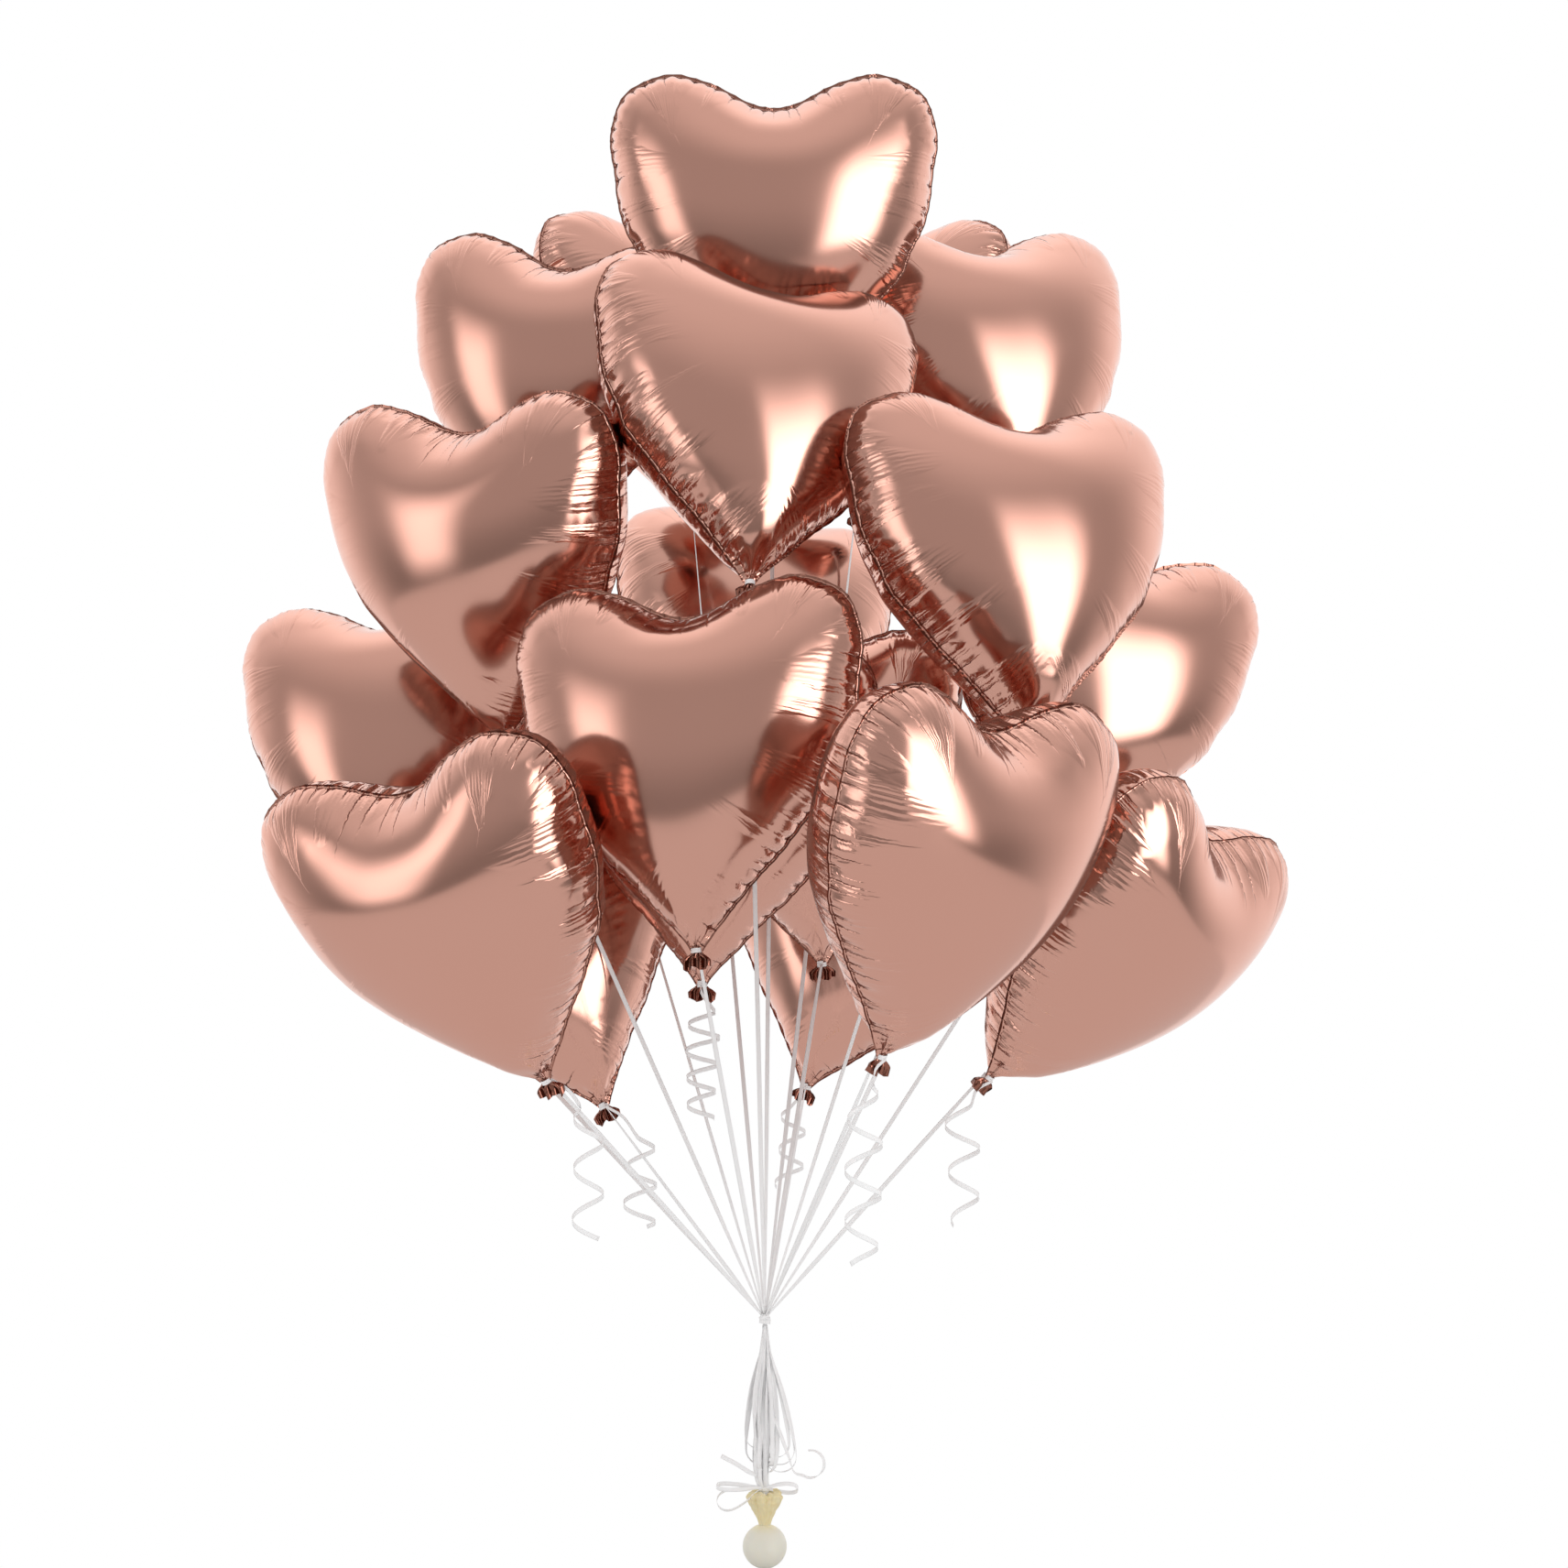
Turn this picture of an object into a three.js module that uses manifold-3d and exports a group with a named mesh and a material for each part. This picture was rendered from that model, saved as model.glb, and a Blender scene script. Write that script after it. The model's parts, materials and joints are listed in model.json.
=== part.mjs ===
// A bouquet of heart-shaped foil balloons on curling ribbons, tied in one knot above a small
// latex weight. Millimetres, +Z up, the fronts face -Y, and the origin is the gather knot.

import * as THREE from 'three';
import { mergeVertices } from 'three/addons/utils/BufferGeometryUtils.js';
import Module from 'manifold-3d';

const wasm = await Module();
wasm.setup();

// ---- one inflated heart, in its own frame: the tie round its neck is the origin, its tip is
// down and its front film faces -Y
const heartHeight = 393;
const heartHalfWidth = 189;
const widestHeight = 298;
const lobeHalfSpacing = 115;
const cleftHeight = 355;
const heartHalfDepth = 108;
const heartCentreHeight = 235;
const domeFullness = 0.58;
const filmWall = 1;
const seamGap = 0.3;
const ringSteps = [0.1, 0.42];
const cleftSegments = 3;
const lobeSegments = 3;
const flankSegments = 4;

// ---- the neck: a flat tail of both films, gathered under the ribbon's tie
const neckHalfWidth = 5;
const neckTop = 4;
const neckBottom = -4;
const tailHalfWidth = 12;
const tailEnd = -24;

// ---- ribbons
const ribbonRadius = 1.25;
const tubeSides = 8;
const ribbonStart = 28;
const tieInnerRadius = 5.5;
const tieWall = 2;
const tieHeight = 3;
const tieSides = 10;
const curlRadius = 15;
const curlDrop = 30;

// ---- gather knot, slack ribbon, bow and weight, all on the Z axis below the origin
const knotRadius = 8;
const knotReach = 14;
const knotShoulder = 3;
const knotSteps = 3;
const capLean = THREE.MathUtils.degToRad(66);
const capSteps = 4;
const slackTop = -knotReach - seamGap;
const slackBottom = -178;
const bowTop = slackBottom + 4;
const stemRadius = 4;
const stemBottom = -226;
const loopBottom = -190;
const bowThickness = 6;
const bowHalfHeight = 9;
const bowLoops = [[-26, 24], [20, 17]];
const weightRadius = 25;
const weightCentre = -258;
const weightFoot = -282;
const latexWall = 1;
const weightNeckRadius = 6;
const weightRimTop = -197;
const weightRimRadius = 20;
const fillingDip = 4;
const latheSides = 20;
const sphereSteps = 9;

const foilMaterial = () =>
  new THREE.MeshStandardMaterial({ color: 0xc9917f, roughness: 0.18, metalness: 1 });
const ribbonMaterial = () =>
  new THREE.MeshStandardMaterial({ color: 0xf4f2f0, roughness: 0.4, metalness: 0 });
const latexMaterial = () =>
  new THREE.MeshStandardMaterial({ color: 0xefe8c4, roughness: 0.55, metalness: 0 });
const fillingMaterial = () =>
  new THREE.MeshStandardMaterial({ color: 0xd8d4c8, roughness: 0.9, metalness: 0 });

// ---- helpers: between three.js geometry and solids that can be joined or cut

function toSolid(geometry) {
  const bare = geometry.clone();
  bare.deleteAttribute('normal');
  bare.deleteAttribute('uv');
  const merged = mergeVertices(bare, 1e-4);
  return new wasm.Manifold(
    new wasm.Mesh({
      numProp: 3,
      vertProperties: new Float32Array(merged.attributes.position.array),
      triVerts: new Uint32Array(merged.index.array),
    }),
  );
}

function toGeometry(solid) {
  const mesh = solid.getMesh();
  const geometry = new THREE.BufferGeometry();
  geometry.setAttribute('position', new THREE.BufferAttribute(mesh.vertProperties, 3));
  geometry.setIndex(new THREE.BufferAttribute(mesh.triVerts, 1));
  geometry.computeVertexNormals();
  return geometry;
}

function join(geometries) {
  return toGeometry(geometries.map(toSolid).reduce((whole, next) => whole.add(next)));
}

// ---- heart outline and film

function heartOutline() {
  const cleft = new THREE.Vector2(0, cleftHeight);
  const lobe = new THREE.Vector2(lobeHalfSpacing, heartHeight);
  const widest = new THREE.Vector2(heartHalfWidth, widestHeight);
  const tip = new THREE.Vector2(neckHalfWidth, neckTop);
  const towards = (point, x, z) => new THREE.Vector2(point.x + x, point.y + z);
  const half = [
    [[cleft, towards(cleft, 45, 0), towards(lobe, -45, 0), lobe], cleftSegments],
    [[lobe, towards(lobe, 45, 0), towards(widest, 0, 55), widest], lobeSegments],
    [[widest, towards(widest, 0, -110), towards(tip, 75, 60), tip], flankSegments],
  ].flatMap(([points, segments]) =>
    new THREE.CubicBezierCurve(...points).getPoints(segments).slice(0, segments),
  );
  half.push(tip);
  const mirrored = half.slice(1).reverse().map((p) => new THREE.Vector2(-p.x, p.y));
  return [...half, ...mirrored];
}

// How far the film stands off the seam plane, from the seam (0) to the middle of the heart (1).
function domeDepth(step) {
  return heartHalfDepth * Math.pow(1 - (1 - step) ** 2, domeFullness);
}

// One ring of the film: the outline drawn in towards the middle by the given step.
function filmRing(outline, step, depth, shrink = 0) {
  const scale = (1 - step) * (1 - shrink);
  return outline.map(
    (p) =>
      new THREE.Vector3(
        p.x * scale,
        -depth,
        heartCentreHeight + (p.y - heartCentreHeight) * scale,
      ),
  );
}

// A closed skin over a run of rings, with a point closing it at each end.
function closedSkin(rings, firstPoint, lastPoint) {
  const count = rings[0].length;
  const points = [...rings.flat(), firstPoint, lastPoint];
  const first = points.length - 2;
  const last = points.length - 1;
  const triangles = [];
  for (let i = 0; i < count; i += 1) {
    const next = (i + 1) % count;
    triangles.push(first, i, next);
    for (let ring = 0; ring < rings.length - 1; ring += 1) {
      const low = ring * count;
      const high = low + count;
      triangles.push(low + i, high + next, low + next);
      triangles.push(low + i, high + i, high + next);
    }
    const end = (rings.length - 1) * count;
    triangles.push(end + i, last, end + next);
  }
  const geometry = new THREE.BufferGeometry().setFromPoints(points);
  geometry.setIndex(triangles);
  return geometry;
}

// The front film: a thin dome with the seam round its edge. Turned half round, it is the back.
function domeGeometry() {
  const outline = heartOutline();
  const seam = seamGap / 2;
  const shrink = filmWall / heartHalfDepth;
  const inner = ringSteps.map((s) => filmRing(outline, s, domeDepth(s) - filmWall, shrink));
  const outer = ringSteps.map((s) => filmRing(outline, s, domeDepth(s) + seam));
  const rings = [
    ...inner.reverse(),
    filmRing(outline, 0, seam),
    filmRing(outline, 0, seam + filmWall),
    ...outer,
  ];
  const innerMiddle = new THREE.Vector3(0, -(heartHalfDepth - filmWall), heartCentreHeight);
  const outerMiddle = new THREE.Vector3(0, -(heartHalfDepth + seam), heartCentreHeight);
  return closedSkin(rings, innerMiddle, outerMiddle);
}

// The film's half of the flat tail, which runs through the tie and flares below it.
function tailGeometry() {
  const shape = new THREE.Shape([
    new THREE.Vector2(-neckHalfWidth, neckTop + 4),
    new THREE.Vector2(-neckHalfWidth, neckBottom),
    new THREE.Vector2(-tailHalfWidth, tailEnd),
    new THREE.Vector2(tailHalfWidth, tailEnd),
    new THREE.Vector2(neckHalfWidth, neckBottom),
    new THREE.Vector2(neckHalfWidth, neckTop + 4),
  ]);
  const plate = new THREE.ExtrudeGeometry(shape, { depth: filmWall, bevelEnabled: false });
  plate.rotateX(Math.PI / 2);
  plate.translate(0, -seamGap / 2, 0);
  return plate;
}

// ---- ribbon: a straight run from the knot, the tie round the neck and, on some, a free curl

function tubeBetween(start, end, radius) {
  const circle = new THREE.Shape().absarc(0, 0, radius, 0, 2 * Math.PI);
  return new THREE.ExtrudeGeometry(circle, {
    steps: 1,
    bevelEnabled: false,
    curveSegments: tubeSides,
    extrudePath: new THREE.LineCurve3(start, end),
  });
}

function tieGeometry() {
  const outer = tieInnerRadius + tieWall;
  const profile = [
    new THREE.Vector2(tieInnerRadius, -tieHeight / 2),
    new THREE.Vector2(outer, -tieHeight / 2),
    new THREE.Vector2(outer, tieHeight / 2),
    new THREE.Vector2(tieInnerRadius, tieHeight / 2),
    new THREE.Vector2(tieInnerRadius, -tieHeight / 2),
  ];
  return new THREE.LatheGeometry(profile, tieSides).rotateX(Math.PI / 2);
}

// toLocal takes a point given from the gather knot into the balloon's own frame, and curl says
// where the free end hangs: its offset from the tie in X and Y, and its length.
function ribbonGeometry(toLocal, neck, curl) {
  const knot = toLocal(new THREE.Vector3());
  const side = Math.sign(knot.y) || 1;
  const tieMiddle = tieInnerRadius + tieWall / 2;
  const end = new THREE.Vector3(0, side * tieMiddle, 0);
  const start = end.clone().sub(knot).setLength(ribbonStart).add(knot);
  const pieces = [tieGeometry(), tubeBetween(start, end, ribbonRadius)];
  if (curl) {
    const below = (drop) => toLocal(neck.clone().add(new THREE.Vector3(curl.x, curl.y, -drop)));
    const curlSide = Math.sign(below(curlDrop).y);
    const leave = new THREE.Vector3(0, curlSide * tieMiddle, 0);
    pieces.push(tubeBetween(leave, below(curlDrop + 2), ribbonRadius));
    pieces.push(tubeBetween(below(curlDrop), below(curlDrop + curl.length), curlRadius));
  }
  return join(pieces);
}

// ---- knot, slack ribbon, bow and weight: each is turned round the Z axis

function lathe(profile) {
  return new THREE.LatheGeometry(
    profile.map(([radius, z]) => new THREE.Vector2(radius, z)),
    latheSides,
  ).rotateX(Math.PI / 2);
}

// Points of a circle round a centre on the axis, between two heights, as a lathe profile.
function sphereProfile(radius, centre, fromZ, toZ, steps) {
  const angleAt = (z) => Math.asin((z - centre) / radius);
  const points = [];
  for (let i = 0; i <= steps; i += 1) {
    const angle = THREE.MathUtils.lerp(angleAt(fromZ), angleAt(toZ), i / steps);
    points.push([radius * Math.cos(angle), centre + radius * Math.sin(angle)]);
  }
  return points;
}

// The knot is round below, so that the slack can swing under it, and opens upwards to a round
// cap, from which the ribbons fan out.
function knotGeometry() {
  const capRadius = ribbonStart - seamGap;
  const waist = -Math.sqrt(knotReach ** 2 - knotRadius ** 2);
  return lathe([
    ...sphereProfile(knotReach, 0, -knotReach, waist, knotSteps),
    [knotRadius, knotShoulder],
    ...sphereProfile(capRadius, 0, capRadius * Math.cos(capLean), capRadius, capSteps),
  ]);
}

function slackGeometry() {
  return lathe([
    [0, slackBottom],
    [14, slackBottom],
    [25, slackBottom + 30],
    [22, slackBottom + 75],
    [11, slackBottom + 125],
    [4, slackTop],
    [0, slackTop],
  ]);
}

// The bow: a stem down into the weight's neck, and a flat loop to each side.
function bowGeometry() {
  const stem = lathe([[0, stemBottom], [stemRadius, stemBottom], [stemRadius, bowTop], [0, bowTop]]);
  const loops = bowLoops.map(([middle, halfLength]) => {
    const outline = new THREE.Shape().absellipse(middle, 0, halfLength, bowHalfHeight, 0, 2 * Math.PI);
    const loop = new THREE.ExtrudeGeometry(outline, {
      depth: bowThickness,
      bevelEnabled: false,
      curveSegments: 6,
    });
    return loop.translate(0, 0, loopBottom);
  });
  return join([stem, ...loops]);
}

// The latex skin: a ball with a flat foot, open through its neck into a flared rim.
function weightSkinGeometry() {
  const neckTopAt = (radius, hole) => weightCentre + Math.sqrt(radius ** 2 - hole ** 2);
  const ball = (wall) => {
    const radius = weightRadius - wall;
    const neckTop = neckTopAt(radius, weightNeckRadius - wall);
    return sphereProfile(radius, weightCentre, weightFoot + wall, neckTop, sphereSteps);
  };
  return lathe([
    [0, weightFoot],
    ...ball(0),
    [weightRimRadius, weightRimTop],
    [weightRimRadius - latexWall, weightRimTop],
    ...ball(latexWall).reverse(),
    [0, weightFoot + latexWall],
  ]);
}

function weightFillingGeometry() {
  const radius = weightRadius - latexWall - seamGap;
  const bottom = weightFoot + latexWall + seamGap;
  const top = weightCentre + radius - fillingDip;
  return lathe([
    [0, bottom],
    ...sphereProfile(radius, weightCentre, bottom, top, sphereSteps),
    [0, top],
  ]);
}

// ---- the bouquet. Each balloon's tie is placed from the gather knot; turn is about the
// vertical, nod tips its top towards its front and lean tips it to its left, in degrees.
const balloons = [
  { tie: [10, 115, 1035], turn: 0, nod: 6, lean: 0 },
  { tie: [-100, 480, 960], turn: -138, nod: 19, lean: -6 },
  { tie: [120, 600, 960], turn: 136, nod: 12, lean: -2 },
  { tie: [-275, 330, 885], turn: -14, nod: 1, lean: 5 },
  { tie: [295, 200, 900], turn: 22, nod: -15, lean: -2 },
  { tie: [-15, -195, 820], turn: 21, nod: -23, lean: 10 },
  { tie: [-290, -15, 650], turn: -27, nod: 12, lean: -1 },
  { tie: [280, -240, 645], turn: 23, nod: -16, lean: 3 },
  { tie: [-445, 175, 450], turn: -11, nod: -15, lean: -4 },
  { tie: [340, 95, 510], turn: 17, nod: -3, lean: 13 },
  { tie: [-70, -290, 430], turn: -14, nod: -5, lean: -3 },
  { tie: [-230, -245, 290], turn: -21, nod: 26, lean: -15, curl: { x: 38, y: 0, length: 140 } },
  { tie: [120, -415, 330], turn: 44, nod: 21, lean: 4, curl: { x: -14, y: -8, length: 180 } },
  { tie: [245, -140, 285], turn: 44, nod: 37, lean: 21, curl: { x: -30, y: -6, length: 130 } },
  { tie: [-185, 50, 235], turn: -168, nod: 14, lean: 20, curl: { x: 40, y: -35, length: 105 } },
  { tie: [-70, -35, 380], turn: 170, nod: 2, lean: -2, curl: { x: 4, y: -8, length: 135 } },
  { tie: [67, 203, 390], turn: 178, nod: 0, lean: 4 },
  { tie: [50, 405, 225], turn: 168, nod: 10, lean: -17, curl: { x: -12, y: 8, length: 95 } },
  { tie: [-20, 469, 631], turn: -167, nod: 34, lean: -8 },
];

function named(name, geometry, material) {
  const mesh = new THREE.Mesh(geometry, material);
  mesh.name = name;
  return mesh;
}

const film = join([domeGeometry(), tailGeometry()]);

function placed({ tie, turn, nod, lean }) {
  const group = new THREE.Group();
  const [turnAngle, nodAngle, leanAngle] = [turn, nod, lean].map(THREE.MathUtils.degToRad);
  group.position.set(...tie);
  group.rotation.set(nodAngle, leanAngle, turnAngle, 'ZXY');
  group.updateMatrix();
  return group;
}

function ribbonOf(group, curl) {
  const inverse = group.matrix.clone().invert();
  return ribbonGeometry((point) => point.applyMatrix4(inverse), group.position, curl);
}

// The last balloon's ribbon is the one that ties the rest, so it is part of the gather knot.
function balloon(description, index) {
  const number = String(index + 1).padStart(2, '0');
  const group = placed(description);
  const back = named(`back_film_${number}`, film, foilMaterial());
  back.rotation.z = Math.PI;
  group.add(named(`front_film_${number}`, film, foilMaterial()), back);
  if (description !== balloons.at(-1)) {
    const ribbon = ribbonOf(group, description.curl);
    group.add(named(`ribbon_${number}`, ribbon, ribbonMaterial()));
  }
  return group;
}

// A run of the tying ribbon reaches into the knot's cap, so that the two are one piece.
function knotWithRibbon() {
  const group = placed(balloons.at(-1));
  const run = ribbonOf(group).applyMatrix4(group.matrix);
  const towards = group.position.clone().normalize();
  const [inner, outer] = [knotReach, ribbonStart + 2].map((reach) =>
    towards.clone().multiplyScalar(reach),
  );
  return join([knotGeometry(), run, tubeBetween(inner, outer, ribbonRadius)]);
}

const bouquet = new THREE.Group();
bouquet.add(
  ...balloons.map(balloon),
  named('gather_knot', knotWithRibbon(), ribbonMaterial()),
  named('slack_ribbon', join([slackGeometry(), bowGeometry()]), ribbonMaterial()),
  named('weight_skin', weightSkinGeometry(), latexMaterial()),
  named('weight_filling', weightFillingGeometry(), fillingMaterial()),
);

export default bouquet;
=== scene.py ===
"""A bouquet of heart-shaped foil balloons, tied in one knot above a small latex weight.

Metres, +Z up, the fronts face -Y and the origin is the gather knot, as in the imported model. The
films are inflated from their flat cut by a small solver of their own, in millimetres.
"""

import json
import math

import bpy
import numpy as np
from mathutils import Matrix, Vector, noise
from mathutils.bvhtree import BVHTree
from mathutils.geometry import delaunay_2d_cdt
from mathutils.kdtree import KDTree


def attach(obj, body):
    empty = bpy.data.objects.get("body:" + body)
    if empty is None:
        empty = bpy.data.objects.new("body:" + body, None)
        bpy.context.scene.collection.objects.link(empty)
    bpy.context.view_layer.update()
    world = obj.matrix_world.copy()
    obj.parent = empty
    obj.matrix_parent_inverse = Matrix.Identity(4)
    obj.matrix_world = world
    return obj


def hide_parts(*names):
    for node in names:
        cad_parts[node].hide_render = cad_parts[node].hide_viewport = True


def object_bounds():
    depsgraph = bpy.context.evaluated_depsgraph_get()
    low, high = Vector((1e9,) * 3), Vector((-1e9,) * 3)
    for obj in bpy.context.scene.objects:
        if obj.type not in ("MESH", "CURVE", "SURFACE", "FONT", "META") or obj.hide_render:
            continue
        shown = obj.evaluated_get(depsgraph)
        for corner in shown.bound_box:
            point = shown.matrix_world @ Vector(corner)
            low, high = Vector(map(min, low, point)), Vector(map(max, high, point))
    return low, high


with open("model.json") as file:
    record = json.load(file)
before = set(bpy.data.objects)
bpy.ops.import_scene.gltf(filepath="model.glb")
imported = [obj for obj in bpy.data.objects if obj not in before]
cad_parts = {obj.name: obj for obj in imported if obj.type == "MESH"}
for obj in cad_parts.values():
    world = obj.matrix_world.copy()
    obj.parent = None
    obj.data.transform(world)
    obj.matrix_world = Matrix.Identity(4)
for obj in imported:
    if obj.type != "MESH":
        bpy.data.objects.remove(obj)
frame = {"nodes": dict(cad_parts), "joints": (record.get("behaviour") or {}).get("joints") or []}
cad_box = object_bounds()

MM = 0.001
RIBBON_WIDTH = 0.005
RIBBON_THICKNESS = 0.0003

# Each balloon: its tie from the knot in mm; its turn, nod and lean in degrees; which inflated
# shape it takes, mirrored or not, and front to back or not; and, where its ribbon's free end
# hangs below it, the curl's offset in mm, its length in mm and its number of turns.
BALLOONS = [
    {"tie": (10, 115, 1035), "turn": (0, 6, 0), "shape": (1, 0, 0)},
    {"tie": (-100, 480, 960), "turn": (-138, 19, -6), "shape": (2, 0, 0)},
    {"tie": (120, 600, 960), "turn": (136, 12, -2), "shape": (0, 1, 1)},
    {"tie": (-275, 330, 885), "turn": (-14, 1, 5), "shape": (1, 1, 0)},
    {"tie": (295, 200, 900), "turn": (22, -15, -2), "shape": (2, 1, 0)},
    {"tie": (-15, -195, 820), "turn": (21, -23, 10), "shape": (0, 0, 1)},
    {"tie": (-290, -15, 650), "turn": (-27, 12, -1), "shape": (1, 0, 1)},
    {"tie": (280, -240, 645), "turn": (23, -16, 3), "shape": (2, 1, 1)},
    {"tie": (-445, 175, 450), "turn": (-11, -15, -4), "shape": (0, 1, 1)},
    {"tie": (340, 95, 510), "turn": (17, -3, 13), "shape": (1, 0, 0)},
    {"tie": (-70, -290, 430), "turn": (-14, -5, -3), "shape": (2, 0, 0)},
    {"tie": (-230, -245, 290), "turn": (-21, 26, -15), "shape": (0, 1, 0), "curl": (44, 0, 135, 2.5)},
    {"tie": (120, -415, 330), "turn": (44, 21, 4), "shape": (1, 1, 0), "curl": (-16, -8, 180, 3.5)},
    {"tie": (245, -140, 285), "turn": (44, 37, 21), "shape": (2, 0, 1), "curl": (-30, -6, 130, 2.5)},
    {"tie": (-185, 50, 235), "turn": (-168, 14, 20), "shape": (0, 0, 1), "curl": (46, -38, 105, 2.5)},
    {"tie": (-70, -35, 380), "turn": (170, 2, -2), "shape": (1, 1, 1), "curl": (2, -10, 120, 4)},
    {"tie": (67, 203, 390), "turn": (178, 0, 4), "shape": (2, 1, 0)},
    {"tie": (50, 405, 225), "turn": (168, 10, -17), "shape": (0, 0, 0), "curl": (-16, 8, 95, 2.25)},
    {"tie": (-20, 469, 631), "turn": (-167, 34, -8), "shape": (1, 0, 1)},
]
MOVING = {joint["child"] for joint in frame["joints"]}


def body_of(number):
    """The CAD body that balloon NN belongs to: its own, or the knot's where it can't swing."""
    own = f"balloon_{number:02d}"
    return own if own in MOVING else "gather"


def ribbon_node(number):
    """The CAD node of the balloon's ribbon: the last one is part of the knot that it ties."""
    return "gather_knot" if number == len(BALLOONS) else f"ribbon_{number:02d}"


def balloon_matrix(balloon):
    turn, nod, lean = (math.radians(a) for a in balloon["turn"])
    return (
        Matrix.Translation(Vector(balloon["tie"]) * MM)
        @ Matrix.Rotation(turn, 4, "Z")
        @ Matrix.Rotation(nod, 4, "X")
        @ Matrix.Rotation(lean, 4, "Y")
    )


# ---------------------------------------------------------------- camera


def add_camera():
    data = bpy.data.cameras.new("camera")
    data.angle = math.radians(26.3)
    camera = bpy.data.objects.new("camera", data)
    camera.location = (0.0218, -3.8, 0.605)
    camera.rotation_euler = (math.pi / 2, 0, 0)
    bpy.context.collection.objects.link(camera)
    bpy.context.scene.camera = camera


add_camera()

# ---------------------------------------------------------------- materials


def new_material(name):
    material = bpy.data.materials.new(name)
    material.use_nodes = True
    nodes = material.node_tree.nodes
    return material, nodes, material.node_tree.links, nodes["Principled BSDF"]


def noise_node(nodes, links, scale, detail, vector):
    """Noise at the place that the vector socket gives."""
    node = nodes.new("ShaderNodeTexNoise")
    node.inputs["Scale"].default_value = scale
    node.inputs["Detail"].default_value = detail
    links.new(vector, node.inputs["Vector"])
    return node.outputs["Fac"]


def map_range(nodes, links, value, low, high, to_low, to_high):
    node = nodes.new("ShaderNodeMapRange")
    node.interpolation_type = "SMOOTHSTEP"
    node.inputs["From Min"].default_value = low
    node.inputs["From Max"].default_value = high
    node.inputs["To Min"].default_value = to_low
    node.inputs["To Max"].default_value = to_high
    links.new(value, node.inputs["Value"])
    return node.outputs["Result"]


def math_node(nodes, links, operation, first, second):
    node = nodes.new("ShaderNodeMath")
    node.operation = operation
    for socket, value in zip(node.inputs, (first, second)):
        if isinstance(value, (int, float)):
            socket.default_value = value
        else:
            links.new(value, socket)
    return node.outputs[0]


def mix_colours(nodes, links, factor, first, second):
    """The colour between first, a colour or a socket, and second, a colour."""
    node = nodes.new("ShaderNodeMix")
    node.data_type = "RGBA"
    links.new(factor, node.inputs["Factor"])
    if isinstance(first, tuple):
        node.inputs["A"].default_value = (*first, 1)
    else:
        links.new(first, node.inputs["A"])
    node.inputs["B"].default_value = (*second, 1)
    return node.outputs["Result"]


def add_bump(nodes, links, height, strength, distance, shader, under=None):
    node = nodes.new("ShaderNodeBump")
    node.inputs["Strength"].default_value = strength
    node.inputs["Distance"].default_value = distance
    links.new(height, node.inputs["Height"])
    if under is not None:
        links.new(under, node.inputs["Normal"])
    if shader is not None:
        links.new(node.outputs["Normal"], shader.inputs["Normal"])
    return node.outputs["Normal"]


def object_coordinates(nodes):
    return nodes.new("ShaderNodeTexCoord").outputs["Object"]


def foil_material():
    """Rose-gold metallised film. Sharp creases and hair-fine wrinkles run in from the seam; the crease lines,
    the seam's flange and the tail are darkened with painted shade.
    """
    material, nodes, links, shader = new_material("foil")
    shader.inputs["Metallic"].default_value = 1

    def attribute(name):
        node = nodes.new("ShaderNodeAttribute")
        node.attribute_name = name
        return node.outputs["Fac"]

    def calculate(operation, first, second=0.0):
        return math_node(nodes, links, operation, first, second)

    distance, count, reach = (attribute(name) for name in ("seam_distance", "crease_count", "crease_reach"))

    def stretched_noise(along, inward, detail):
        place = nodes.new("ShaderNodeCombineXYZ")
        links.new(calculate("MULTIPLY", count, along), place.inputs[0])
        links.new(calculate("MULTIPLY", distance, inward), place.inputs[1])
        return noise_node(nodes, links, 1.0, detail, place.outputs[0])

    def fading(length):
        return map_range(nodes, links, calculate("DIVIDE", distance, length), 0.2, 1, 1, 0)

    aside = calculate("ABSOLUTE", calculate("SUBTRACT", count, calculate("ROUND", count)))
    line = map_range(nodes, links, aside, 0, 0.055, 1, 0)
    crease = calculate("MULTIPLY", line, fading(reach))
    band = map_range(nodes, links, stretched_noise(0.4, 5, 1), 0.38, 0.60, 0.012, 0.13)
    hair = calculate("MULTIPLY", stretched_noise(4.0, 12, 0.5), fading(band))
    broad = noise_node(nodes, links, 7, 2, object_coordinates(nodes))
    normal = add_bump(nodes, links, broad, 0.12, 0.006, None)
    normal = add_bump(nodes, links, hair, 0.9, 0.0017, None, normal)
    add_bump(nodes, links, calculate("SUBTRACT", 1.0, crease), 0.9, 0.0014, shader, normal)
    tone = mix_colours(nodes, links, broad, (0.865, 0.455, 0.355), (0.90, 0.485, 0.385))
    # Painted shade: the flange, the tail and the crease lines are mixed toward a dark copper brown.
    painted_fold_shade = calculate("MAXIMUM", attribute("painted_fold_shade"), calculate("MULTIPLY", crease, 0.55))
    links.new(mix_colours(nodes, links, painted_fold_shade, tone, (0.30, 0.10, 0.065)), shader.inputs["Base Color"])
    links.new(map_range(nodes, links, broad, 0.3, 0.7, 0.12, 0.18), shader.inputs["Roughness"])
    return material


def ribbon_material():
    """White curling ribbon: satin plastic with fine ridges along it."""
    material, nodes, links, shader = new_material("ribbon")
    texture = noise_node(nodes, links, 700, 2, object_coordinates(nodes))
    tone = mix_colours(nodes, links, texture, (0.92, 0.92, 0.925), (0.97, 0.97, 0.97))
    links.new(tone, shader.inputs["Base Color"])
    links.new(map_range(nodes, links, texture, 0.3, 0.7, 0.5, 0.65), shader.inputs["Roughness"])
    shader.inputs["Specular IOR Level"].default_value = 0.12
    add_bump(nodes, links, texture, 0.1, 0.0001, shader)
    return material


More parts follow.
